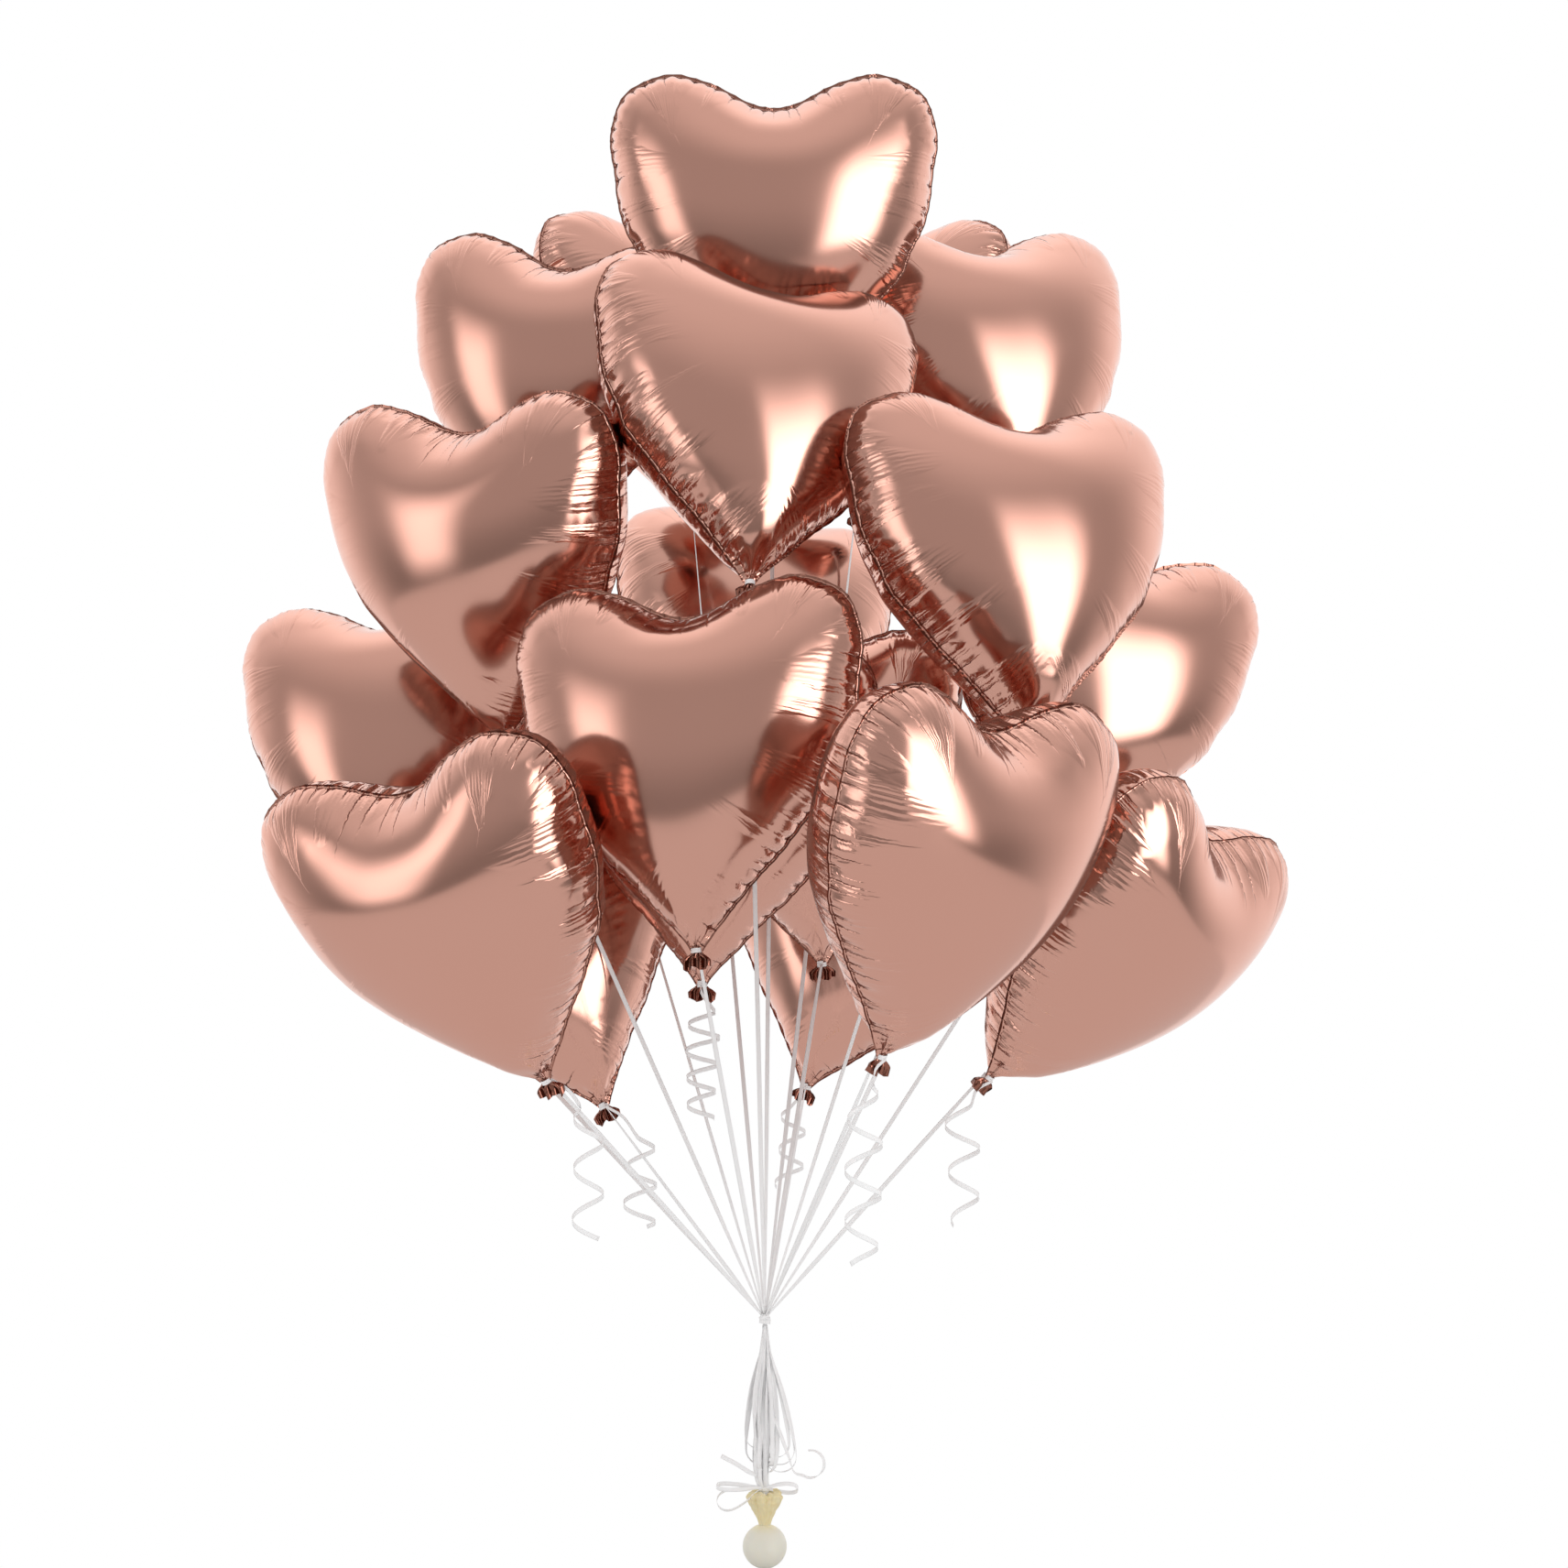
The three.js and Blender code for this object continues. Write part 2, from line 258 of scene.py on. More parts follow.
def latex_material():
    """Cream latex: matt, a little waxy, yellower where it is bunched."""
    material, nodes, links, shader = new_material("latex")
    height = nodes.new("ShaderNodeSeparateXYZ")
    links.new(object_coordinates(nodes), height.inputs[0])
    bunched = map_range(nodes, links, height.outputs["Z"], -0.243, -0.228, 0, 1)
    mottle = noise_node(nodes, links, 120, 4, object_coordinates(nodes))
    yellow = math_node(nodes, links, "MULTIPLY", bunched, math_node(nodes, links, "ADD", mottle, 0.45))
    tone = mix_colours(nodes, links, yellow, (0.80, 0.78, 0.68), (0.83, 0.72, 0.42))
    links.new(tone, shader.inputs["Base Color"])
    shader.inputs["Roughness"].default_value = 0.45
    shader.inputs["Subsurface Weight"].default_value = 0.25
    shader.inputs["Subsurface Radius"].default_value = (0.004, 0.003, 0.002)
    shader.inputs["Sheen Weight"].default_value = 0.1
    add_bump(nodes, links, mottle, 0.3, 0.0006, shader)
    return material


def filling_material():
    """Sand, sealed inside the weight."""
    material, nodes, links, shader = new_material("filling")
    grain = noise_node(nodes, links, 2500, 3, object_coordinates(nodes))
    tone = mix_colours(nodes, links, grain, (0.45, 0.38, 0.28), (0.75, 0.68, 0.55))
    links.new(tone, shader.inputs["Base Color"])
    shader.inputs["Roughness"].default_value = 0.9
    add_bump(nodes, links, grain, 0.6, 0.0005, shader)
    return material


FOIL = foil_material()
RIBBON = ribbon_material()
LATEX = latex_material()

# ---------------------------------------------------------------- meshes


def unit(vectors):
    return vectors / np.linalg.norm(vectors, axis=-1, keepdims=True)


def travelled_along(path):
    """The length of the path up to each of its points."""
    return np.r_[0, np.cumsum(np.linalg.norm(np.diff(path, axis=0), axis=1))]


def summed(index, rows, count):
    """For each of count points, the sum of the rows that its index stands beside."""
    return np.stack([np.bincount(index, column, count) for column in rows.T], axis=1)


def make_mesh(name, points, faces, material, smooth=True):
    mesh = bpy.data.meshes.new(name)
    mesh.from_pydata([tuple(p) for p in points], [], [tuple(f) for f in faces])
    mesh.materials.append(material)
    if smooth:
        mesh.shade_smooth()
    mesh.update()
    return mesh


def add_piece(name, mesh, body, nodes):
    piece = bpy.data.objects.new(name, mesh)
    bpy.context.collection.objects.link(piece)
    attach(piece, body)
    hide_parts(*nodes)
    return piece


# ---------------------------------------------------------------- ribbons


def smooth_path(points, count):
    """A Catmull-Rom curve through the points, at even steps along its length."""
    known = np.asarray(points, float)
    padded = np.vstack([2 * known[0] - known[1], known, 2 * known[-1] - known[-2]])
    dense = []
    for i in range(1, len(padded) - 2):
        a, b, c, d = padded[i - 1 : i + 3]
        for t in np.linspace(0, 1, 16, endpoint=False):
            quadratic = (2 * a - 5 * b + 4 * c - d) * t**2
            cubic = (3 * b - a - 3 * c + d) * t**3
            dense.append(0.5 * (2 * b + (c - a) * t + quadratic + cubic))
    dense = np.array([*dense, known[-1]])
    travelled = travelled_along(dense)
    stops = np.linspace(0, travelled[-1], count)
    return np.stack([np.interp(stops, travelled, dense[:, k]) for k in range(3)], axis=1)


def ribbon_mesh(name, path, across, widths):
    """A thin flat strip along the path. across is the width's direction at each point."""
    path = np.asarray(path, float)
    ahead = unit(np.gradient(path, axis=0))
    across = unit(across - ahead * (across * ahead).sum(1)[:, None])
    facing = np.cross(ahead, across)
    half = (np.asarray(widths) / 2)[:, None]
    thick = RIBBON_THICKNESS / 2
    cup = 0.06 * half
    section = [(-1.0, 1.0), (-0.5, 0.0), (0.0, -0.3), (0.5, 0.0), (1.0, 1.0)]
    top = [path + across * half * u + facing * (cup * v + thick) for u, v in section]
    bottom = [path + across * half * u + facing * (cup * v - thick) for u, v in reversed(section)]
    ring = np.stack(top + bottom, axis=1)
    count, sides = ring.shape[:2]
    faces = []
    for i in range(count - 1):
        for j in range(sides):
            k = (j + 1) % sides
            faces.append((i * sides + j, i * sides + k, (i + 1) * sides + k, (i + 1) * sides + j))
    faces.append(tuple(range(sides - 1, -1, -1)))
    faces.append(tuple((count - 1) * sides + j for j in range(sides)))
    return make_mesh(name, ring.reshape(-1, 3), faces, RIBBON)


def add_ribbon_piece(name, path, across, body, nodes, taper):
    """A flat ribbon. taper is how wide it is at its start and end, where it is tucked in."""
    count = len(path)
    step = np.arange(count)
    fold = 12
    widths = RIBBON_WIDTH * np.minimum(
        np.interp(step, [0, min(fold, count - 1)], [taper[0], 1]),
        np.interp(step, [max(count - 1 - fold, 0), count - 1], [1, taper[1]]),
    )
    return add_piece(name, ribbon_mesh(name, path, across, widths), body, nodes)


def add_ribbon(name, path, across, body, nodes, taper=(1, 1)):
    """A flat ribbon."""
    piece = add_ribbon_piece(name, path, across, body, nodes, taper)


KNOT_EXIT = 0.006
TIE_OFFSET = 0.0065
TIE_RADIUS = 0.0054
CURL_RADIUS = 0.0172


def add_balloon_ribbon(number, balloon, rng):
    """The taut run from the knot to the balloon's tie, a little twisted."""
    matrix = balloon_matrix(balloon)
    toward_knot = matrix.inverted() @ Vector((0, 0, 0))
    side = 1 if toward_knot.y > 0 else -1
    end = np.array(matrix @ Vector((0, side * TIE_OFFSET, 0.001)))
    start = end / np.linalg.norm(end) * KNOT_EXIT
    count = 60
    path = start + (end - start) * np.linspace(0, 1, count)[:, None]
    ahead = unit(end - start)
    flat = unit(np.cross(ahead, (0, 1, 0)))
    other = np.cross(ahead, flat)
    angle = rng.uniform(-0.5, 0.5) + np.linspace(0, rng.uniform(-1.6, 1.6), count)
    across = flat * np.cos(angle)[:, None] + other * np.sin(angle)[:, None]
    body, node = body_of(number), ribbon_node(number)
    name = f"taut_ribbon_{number:02d}"
    add_ribbon(name, path, across, body, [node], taper=(0.35, 0.6))
    turns = np.linspace(0, 2.3, 46) * 2 * math.pi
    ring = [
        matrix @ Vector((TIE_RADIUS * math.cos(a), TIE_RADIUS * math.sin(a), 0.00035 * a - 0.002))
        for a in turns
    ]
    upright = np.tile(np.array(matrix.to_3x3() @ Vector((0, 0, 1))), (len(ring), 1))
    band = ribbon_mesh(f"tie_{number:02d}", ring, upright, np.full(len(ring), 0.0028))
    add_piece(f"tie_{number:02d}", band, body, [node])


def add_curl(number, balloon, rng):
    """The ribbon's free end: it drops from the tie and hangs in loose turns."""
    x, y, length, turns = balloon["curl"]
    neck = np.array(balloon["tie"]) * MM
    matrix = balloon_matrix(balloon)
    down = (matrix.inverted() @ Vector(neck + np.array([x, y, -30]) * MM)).y
    start = np.array(matrix @ Vector((0, math.copysign(TIE_OFFSET, down), 0)))
    axis_top = neck + np.array([x, y, -30]) * MM
    phase = rng.uniform(0, 2 * math.pi)
    drift = rng.uniform(-0.006, 0.006)
    middle = (start + axis_top) / 2 + np.array([0, 0, 0.004])
    points = [start, middle]
    steps = int(turns * 12)
    for i in range(steps + 1):
        t = i / steps
        angle = phase + 2 * math.pi * turns * t
        wide = CURL_RADIUS * min(1, 0.72 + 1.6 * t) * (1 + 0.10 * math.sin(5 * t + phase))
        points.append(
            axis_top
            + np.array([wide * math.cos(angle) + drift * t, wide * math.sin(angle), -length * MM * t])
        )
    path = smooth_path(points, int(turns * 22) + 14)
    sideways = np.gradient(path, axis=0)
    upright = np.tile([0.0, 0.0, 1.0], (len(path), 1))
    upright += 0.2 * np.stack([sideways[:, 1], -sideways[:, 0], 0 * sideways[:, 0]], axis=1)
    name = f"curl_ribbon_{number:02d}"
    body, node = body_of(number), ribbon_node(number)
    add_ribbon(name, path, upright, body, [node], taper=(0.6, 1))


def add_ribbons():
    rng = np.random.default_rng(11)
    for number, balloon in enumerate(BALLOONS, 1):
        add_balloon_ribbon(number, balloon, rng)
        if "curl" in balloon:
            add_curl(number, balloon, rng)


add_ribbons()

# ---------------------------------------------------------------- the knot, hank and bow

SLACK_TOP = -0.0075
STEM_END = -0.229
STEMS = 26
HANK_LOOPS = [  # heading in degrees, reach, bend radius, sideways drift at the foot
    (0, 0.158, 0.0188, 0.017),
    (12, 0.166, 0.0195, 0.019),
    (-14, 0.150, 0.0175, 0.012),
    (6, 0.140, 0.0172, -0.006),
    (-10, 0.158, 0.0178, -0.004),
    (75, 0.165, 0.0180, -0.003),
    (105, 0.160, 0.0160, 0.004),
    (48, 0.152, 0.0165, 0.000),
    (-45, 0.168, 0.0175, -0.003),
]


def band_round(name, centre, radius, tilt, width, turns, rise, body, node):
    """A ribbon wound round a bundle, level or tilted."""
    angles = np.linspace(0, turns * 2 * math.pi, int(turns * 26))
    lean = Matrix.Rotation(tilt, 3, "Y")
    path = [
        Vector(centre) + lean @ Vector((radius * math.cos(a), radius * math.sin(a), rise * a))
        for a in angles
    ]
    upright = np.tile(np.array(lean @ Vector((0, 0, 1))), (len(path), 1))
    add_piece(name, ribbon_mesh(name, path, upright, np.full(len(path), width)), body, [node])


def loop_path(root, along, across, reach, radius, bulge=0.0):
    """Out from the root, round a half circle, and back to it."""
    root, along, across = (np.asarray(v, float) for v in (root, along, across))
    facing = np.cross(along, across)
    run = reach - radius
    half = [(0.0, 0.10), (0.22, 0.22), (0.55, 0.72), (0.85, 0.97), (1.0, 1.0)]
    middle = [root + along * run * f + facing * bulge * math.sin(2.6 * f) for f, _ in half]
    there = [point + across * radius * o for point, (_, o) in zip(middle, half)]
    back = [point - across * radius * o for point, (_, o) in zip(middle, half)]
    end = root + along * run + facing * bulge * math.sin(2.6)
    bend = [
        end + along * radius * math.sin(a) + across * radius * math.cos(a)
        for a in np.radians([30, 60, 90, 120, 150])
    ]
    return [*there, *bend, *back[::-1]]


def turned(facing, toward, count, turn):
    """The width's direction along a loop: it turns toward another one in each leg, and back at the bend."""
    angle = (turn * np.sin(2 * math.pi * np.linspace(0, 1, count)) ** 2)[:, None]
    return np.asarray(facing, float) * np.cos(angle) + np.asarray(toward, float) * np.sin(angle)


def add_slack_ribbon(name, points, count, across, taper=(1, 1)):
    path = smooth_path(points, count)
    add_ribbon(name, path, across, "slack", ["slack_ribbon"], taper)


def add_hank():
    """The slack of the ribbons, in loops that hang from the knot and drift to one side as they fall."""
    rng = np.random.default_rng(23)
    for k, (heading, reach, radius, drift) in enumerate(HANK_LOOPS):
        angle = math.radians(heading)
        outward = np.array([math.cos(angle), math.sin(angle), 0])
        side = np.array([-math.sin(angle), math.cos(angle), 0])
        root = np.array([0, 0, SLACK_TOP]) + side * rng.uniform(-0.0015, 0.0015)
        loop = np.array(loop_path(root, (0, 0, -1), outward, reach, radius, rng.uniform(-0.006, 0.006)))
        loop[:, 0] += drift * ((SLACK_TOP - loop[:, 2]) / reach) ** 1.4
        across = turned(side, outward, 90, rng.uniform(0.7, 1.5))
        add_slack_ribbon(f"hank_loop_{k + 1}", loop, 90, across, (0.5, 0.5))


def add_stems():
    """The ribbons that run on from the knot, down through the hank into the weight's neck."""
    rng = np.random.default_rng(8)
    for k in range(STEMS):
        angle = 2 * math.pi * k / STEMS + rng.uniform(-0.2, 0.2)
        out = np.array([math.cos(angle), math.sin(angle)])
        wide, low = rng.uniform(0.001, 0.0105), rng.uniform(0.002, 0.011)
        wander = rng.uniform(-0.003, 0.003, (2, 2)) - np.array([0.002, 0])
        points = [
            (*(0.0012 * out), SLACK_TOP + 0.004),
            (*(0.6 * wide * out), -0.045),
            (*(wide * out + wander[0]), -0.095),
            (*(low * out + wander[1]), -0.150),
            (*(0.8 * low * out + wander[1]), -0.181),
            (*(0.0045 * out), -0.196),
            (*(0.0022 * out), STEM_END),
        ]
        across = turned((-out[1], out[0], 0), (out[0], out[1], 0), 60, rng.uniform(-1, 1))
        name = f"stem_ribbon_{k + 1}"
        add_ribbon_piece(name, smooth_path(points, 60), across, "slack", ["slack_ribbon"], (0.4, 0.4))


def add_bow():
    """The bow on the weight's neck, and the two free ends above it."""
    knot = np.array([-0.002, -0.004, -0.191])
    bows = [
        ("left", (-0.98, -0.1, 0.05), (0.1, 1.0, 0.12), 0.053, 0.0105),
        ("low", (-0.93, -0.2, -0.30), (-0.3, 0.62, 0.72), 0.055, 0.0125),
        ("right", (0.97, -0.1, 0.0), (-0.1, -0.75, 0.66), 0.040, 0.0104),
    ]
    for name, along, across, reach, radius in bows:
        along = unit(np.array(along))
        across = unit(np.array(across) - along * np.dot(across, along))
        points = loop_path(knot, along, across, reach, radius)
        facing = np.tile(np.cross(along, across), (60, 1))
        add_slack_ribbon(f"bow_{name}", points, 60, facing, (0.6, 0.6))
    turn = [
        (0.052 + 0.0155 * math.cos(a), -0.010 + 0.0008 * a, -0.164 + 0.0155 * math.sin(a))
        for a in np.radians(range(235, 485, 25))
    ]
    ring = [
        (0.006, -0.006, -0.100),
        (0.016, -0.008, -0.125),
        (0.027, -0.010, -0.155),
        (0.033, -0.010, -0.172),
        *turn,
    ]
    across = turned((0.1, 1, 0.2), (0.8, 0.5, 0.3), 80, 1.2)
    add_slack_ribbon("end_ring", ring, 80, across, (0.6, 1))
    end = [
        (-0.004, -0.006, -0.178),
        (-0.016, -0.009, -0.173),
        (-0.032, -0.010, -0.163),
        (-0.049, -0.010, -0.154),
    ]
    across = turned((0.1, 0.3, 0.9), (0.1, 0.3, 0.9), 40, 0)
    add_slack_ribbon("end_straight", end, 40, across, (0.6, 1))


def add_knot():
    for k, (tilt, height) in enumerate(((0.0, 0.0015), (0.42, -0.001), (-0.38, 0.0), (0.1, -0.0045))):
        name, radius = f"knot_band_{k + 1}", 0.0050 + 0.0004 * k
        band_round(name, (0, 0, height), radius, tilt, 0.0034, 2.0, 0.00018, "gather", "gather_knot")
    band_round("bow_band", (0, 0, -0.1935), 0.0062, 0.15, 0.0040, 2.2, 0.0002, "slack", "slack_ribbon")


add_knot()
add_hank()
add_stems()
add_bow()

# ---------------------------------------------------------------- the weight

WEIGHT_CENTRE = -0.258
WEIGHT_RADIUS = 0.025
WEIGHT_FOOT = -0.282
WEIGHT_NECK = (0.0062, -0.2345)
WEIGHT_FLARE = [  # radius and height, from the neck up to the crumpled rim
    WEIGHT_NECK,
    (0.0085, -0.2265),
    (0.0125, -0.2175),
    (0.0172, -0.2075),
    (0.0186, -0.2015),
    (0.0168, -0.1975),
    (0.0130, -0.1955),
]
WEIGHT_DISH = [(0.0095, -0.1962), (0.0060, -0.1985), (0.0025, -0.2000)]  # the bunched top, inside the rim


def add_weight():
    """A small latex balloon, full and tied: a ball, and above it a bunched and frilled neck."""
    rows = []
    foot = math.asin((WEIGHT_FOOT - WEIGHT_CENTRE) / WEIGHT_RADIUS)
    top = math.acos(WEIGHT_NECK[0] / WEIGHT_RADIUS)
    for angle in np.linspace(foot, top, 40):
        rows.append((WEIGHT_RADIUS * math.cos(angle), WEIGHT_CENTRE + WEIGHT_RADIUS * math.sin(angle), 0.0))
    flare = 34
    outline = smooth_path([(radius, 0, height) for radius, height in WEIGHT_FLARE], flare)
    for t, (radius, _, z) in zip(np.linspace(0, 1, flare), outline):
        if t > 0:
            rows.append((radius, z, t))
    rows += [(radius, height, 1.0) for radius, height in WEIGHT_DISH]
    around = 120
    points = [(0, 0, WEIGHT_FOOT)]
    for radius, z, t in rows:
        pull = 0.25 + 0.75 * t if t > 0 else max(0.0, (z - WEIGHT_CENTRE - 0.016) / 0.009) * 0.25
        for k in range(around):
            a = 2 * math.pi * k / around
            fold = 0.10 * math.cos(5 * a + 1 + 1.5 * t)
            fold += 0.07 * math.cos(11 * a + 2) + 0.06 * math.cos(17 * a + 5 * t)
            crumple = noise.noise(Vector((3.2 * math.cos(a), 3.2 * math.sin(a), 9 * t)))
            lift = t * t * (0.0016 * math.cos(3 * a + 0.6) + 0.0012 * math.cos(7 * a) + 0.003 * crumple)
            r = radius * (1 + pull * fold + 0.22 * t * crumple)
            points.append((r * math.cos(a), r * math.sin(a), z + lift))
    points.append((0, 0, WEIGHT_DISH[-1][1]))
    faces = [(0, 1 + (k + 1) % around, 1 + k) for k in range(around)]
    for row in range(len(rows) - 1):
        low = 1 + row * around
        for k in range(around):
            n = (k + 1) % around
            faces.append((low + k, low + n, low + around + n, low + around + k))
    last = 1 + (len(rows) - 1) * around
    faces += [(last + k, last + (k + 1) % around, len(points) - 1) for k in range(around)]
    mesh = make_mesh("latex_weight", points, faces, LATEX)
    add_piece("latex_weight", mesh, "weight", ["weight_skin"])
    frame["nodes"]["weight_filling"].material_slots[0].material = filling_material()


add_weight()

# ---------------------------------------------------------------- the film, inflated

# The flat cut, in mm, right half: cleft, lobe top, widest point and neck, joined by curves.
CLEFT = (0, 177)
LOBE = (112, 192)
WIDEST = (229, 64)
NECK = (13, -260)
TAIL_LENGTH = 25
FLANGE = 2.4


def bezier(points, count):
    a, b, c, d = (np.array(p, float) for p in points)
    t = np.linspace(0, 1, count, endpoint=False)[:, None]
    return (1 - t) ** 3 * a + 3 * (1 - t) ** 2 * t * b + 3 * (1 - t) * t * t * c + t**3 * d


def flat_outline(step):
    """The seam on the flat film, from the neck's right corner up and round to its left corner."""
    right = np.vstack(
        [
            bezier([NECK, (163, -156), (229, -81), WIDEST], 200),
            bezier([WIDEST, (229, 142), (182, 192), LOBE], 200),
            bezier([LOBE, (64, 192), (38, 177), CLEFT], 200),
            [CLEFT],
        ]
    )
    points = np.vstack([right, right[::-1][1:] * [-1, 1]])
    travelled = travelled_along(points)
    stops = np.linspace(0, travelled[-1], int(round(travelled[-1] / step)))
    return np.stack([np.interp(stops, travelled, points[:, k]) for k in range(2)], axis=1)


def closed_outline(step):
    """The seam and the line across the neck, as one loop. Also the count of seam points."""
    seam = flat_outline(step)
    across = int(round(2 * NECK[0] / step))
    neck = np.stack([np.linspace(-NECK[0], NECK[0], across + 1)[1:-1], np.full(across - 1, NECK[1])], axis=1)
    return np.vstack([seam, neck]), len(seam)


def inside(loop, points):
    x, y = points[:, 0], points[:, 1]
    found = np.zeros(len(points), bool)
    for (x1, y1), (x2, y2) in zip(loop, np.roll(loop, -1, axis=0)):
        crosses = (y1 > y) != (y2 > y)
        found ^= crosses & (x < (x2 - x1) * (y - y1) / (y2 - y1 + 1e-12) + x1)
    return found


def nearest(loop, points):
    """Distance to the nearest point of the loop, and its index."""
    tree = KDTree(len(loop))
    for i, (x, y) in enumerate(loop):
        tree.insert((x, y, 0), i)
    tree.balance()
    hits = [tree.find((x, y, 0)) for x, y in points[:, :2]]
    return np.array([h[2] for h in hits]), np.array([h[1] for h in hits])


def lattice(size, loop):
    low = loop.min(0) - size
    high = loop.max(0) + size
    columns = int((high[0] - low[0]) / size) + 2
    rows = int((high[1] - low[1]) / (size * 0.866)) + 2
    x, y = np.meshgrid(np.arange(columns), np.arange(rows))
    across, up = low[0] + size * (x + 0.5 * (y % 2)), low[1] + size * 0.866 * y
    points = np.stack([across, up], axis=-1).reshape(-1, 2)
    return points[inside(loop, points)]


def flat_mesh(bands):
    """Triangles over the flat film. bands lists (size, from, to): the size of triangle at a
    distance from the seam. The first points are the outline's."""
    loop, seam_count = closed_outline(bands[0][0])
    fine_loop, _ = closed_outline(1.0)
    points = [loop]
    for size, near, far in bands:
        candidates = lattice(size, loop)
        distance, _ = nearest(fine_loop, candidates)
        points.append(candidates[(distance > max(near, 0.62 * size)) & (distance <= far)])
    flat = np.vstack(points)
    result = delaunay_2d_cdt([Vector(p) for p in flat], [], [], 0, 1e-7)
    placed = np.array([tuple(v) for v in result[0]])
    order = np.array([ids[0] for ids in result[3]])
    triangles = order[np.array(result[2])]
    assert len(placed) == len(flat)
    a, b, c = (flat[triangles[:, k]] for k in range(3))
    area = (b[:, 0] - a[:, 0]) * (c[:, 1] - a[:, 1]) - (b[:, 1] - a[:, 1]) * (c[:, 0] - a[:, 0])
    triangles[area < 0] = triangles[area < 0][:, ::-1]
    keep = inside(loop, (a + b + c) / 3) & (np.abs(area) > 1e-3)
    return flat, triangles[keep], len(loop), seam_count


def colour_pairs(pairs, count):
    """Splits the pairs into groups in which no point appears twice."""
    used = [set() for _ in range(count)]
    groups = {}
    for index, (a, b) in enumerate(pairs):
        colour = 0
        while colour in used[a] or colour in used[b]:
            colour += 1
        used[a].add(colour)
        used[b].add(colour)
        groups.setdefault(colour, []).append(index)
    return [pairs[np.array(group)] for group in groups.values()]


def across_edges(triangles):
    """The two far corners of each pair of triangles that share an edge."""
    waiting = {}
    found = []
    for corners in triangles.tolist():
        for k in range(3):
            a, b, c = corners[k], corners[(k + 1) % 3], corners[(k + 2) % 3]
            edge = (min(a, b), max(a, b))
            if edge in waiting:
                found.append((waiting[edge], c))
            else:
                waiting[edge] = c
    return np.array(found)


def triangle_sides(triangles):
    return np.vstack([triangles[:, [0, 1]], triangles[:, [1, 2]], triangles[:, [2, 0]]])


def film_edges(triangles):
    return np.unique(np.sort(triangle_sides(triangles), axis=1), axis=0)


class Film:
    """Two flat sheets sealed round the edge, blown up: the film can't stretch, but it crumples."""

    PRESSURE = 0.00025
    COMPRESS = 0.2
    BEND = 0.02
    DAMP = 0.985

    def __init__(self, bands):
        self.flat, self.one_side, self.outline, self.seam_count = flat_mesh(bands)
        count = len(self.flat)
        back = np.arange(count)
        back[self.outline :] += count - self.outline
        self.back = back
        self.count = count
        self.both = np.vstack([self.flat, self.flat[self.outline :]])
        self.triangles = np.vstack([self.one_side, back[self.one_side][:, ::-1]])

    def prepare(self, start):
        self.x = start.copy()
        self.before = start.copy()

        def with_rest(pairs):
            groups = colour_pairs(pairs, len(self.both))
            return [
                (g[:, 0], g[:, 1], np.linalg.norm(self.both[g[:, 0]] - self.both[g[:, 1]], axis=1))
                for g in groups
            ]

        self.edges = with_rest(film_edges(self.triangles))
        self.bends = with_rest(across_edges(self.triangles))

    def push(self):
        x, t = self.x, self.triangles
        force = np.cross(x[t[:, 1]] - x[t[:, 0]], x[t[:, 2]] - x[t[:, 0]]) * (self.PRESSURE / 6)
        return summed(t.ravel(), np.repeat(force, 3, axis=0), len(x))

    def relax(self, group, shrink, grow):
        a, b, rest = group
        apart = self.x[a] - self.x[b]
        length = np.sqrt((apart * apart).sum(1)) + 1e-9
        share = (length - rest) / length * 0.5
        share = np.where(share > 0, share * shrink, share * grow)[:, None] * apart
        self.x[a] -= share
        self.x[b] += share

    def inflate(self, steps):
        for _ in range(steps):
            moved = (self.x - self.before) * self.DAMP
            self.before = self.x.copy()
            self.x += moved + self.push()
            for group in self.bends:
                self.relax(group, 0, self.BEND)
            for group in self.edges:
                self.relax(group, 1, self.COMPRESS)
            self.x -= self.x.mean(0) * [1, 0, 1]

    def puffed(self):
        """A start: the flat film, a little open."""
        loop, _ = closed_outline(2.0)
        distance, _ = nearest(loop, self.both)
        height = np.minimum(distance, 40) * 0.3
        height[self.count :] *= -1
        height[: self.outline] = 0
        return np.column_stack([self.both, height])

    def carried(self, flat):
        """Where it carries each flat point of the front film, evened out over its four like
        quarters: left and right, front and back."""
        tree = BVHTree.FromPolygons([Vector((x, y, 0)) for x, y in self.flat], self.one_side.tolist())
        total = np.zeros((len(flat), 3))
        for mirror in (1, -1):
            for i, (x, y) in enumerate(flat * [mirror, 1]):
                _, _, face, _ = tree.find_nearest(Vector((x, y, 0)))
                corners = self.one_side[face]
                a, b, c = self.flat[corners] - (x, y)
                weights = np.array([p[0] * q[1] - p[1] * q[0] for p, q in ((b, c), (c, a), (a, b))])
                weights /= weights.sum()
                total[i] += weights @ self.x[corners] * [mirror, 1, 1]
                total[i] += weights @ self.x[self.back[corners]] * [mirror, 1, -1]
        return total / 4


def blurred(values, spread, axis, ends):
    """A Gaussian blur along an axis, corrected so that curves keep their size. ends is how the
    values go on past the ends: "edge" repeats the last one, "odd" turns them about it."""
    reach = int(3 * spread) + 1
    weights = np.exp(-((np.arange(-reach, reach + 1) / spread) ** 2) / 2)
    weights /= weights.sum()
    values = np.moveaxis(values, axis, 0)

    def blur(v):
        first, last = v[:1], v[-1:]
        before, after = v[reach:0:-1], v[-2 : -reach - 2 : -1]
        if ends == "odd":
            before, after = 2 * first - before, 2 * last - after
        else:
            before, after = np.repeat(first, reach, 0), np.repeat(last, reach, 0)
        long = np.concatenate([before, v, after])
        return sum(w * long[k : k + len(v)] for k, w in enumerate(weights))

    once = blur(values)
    return np.moveaxis(2 * once - blur(once), 0, axis)


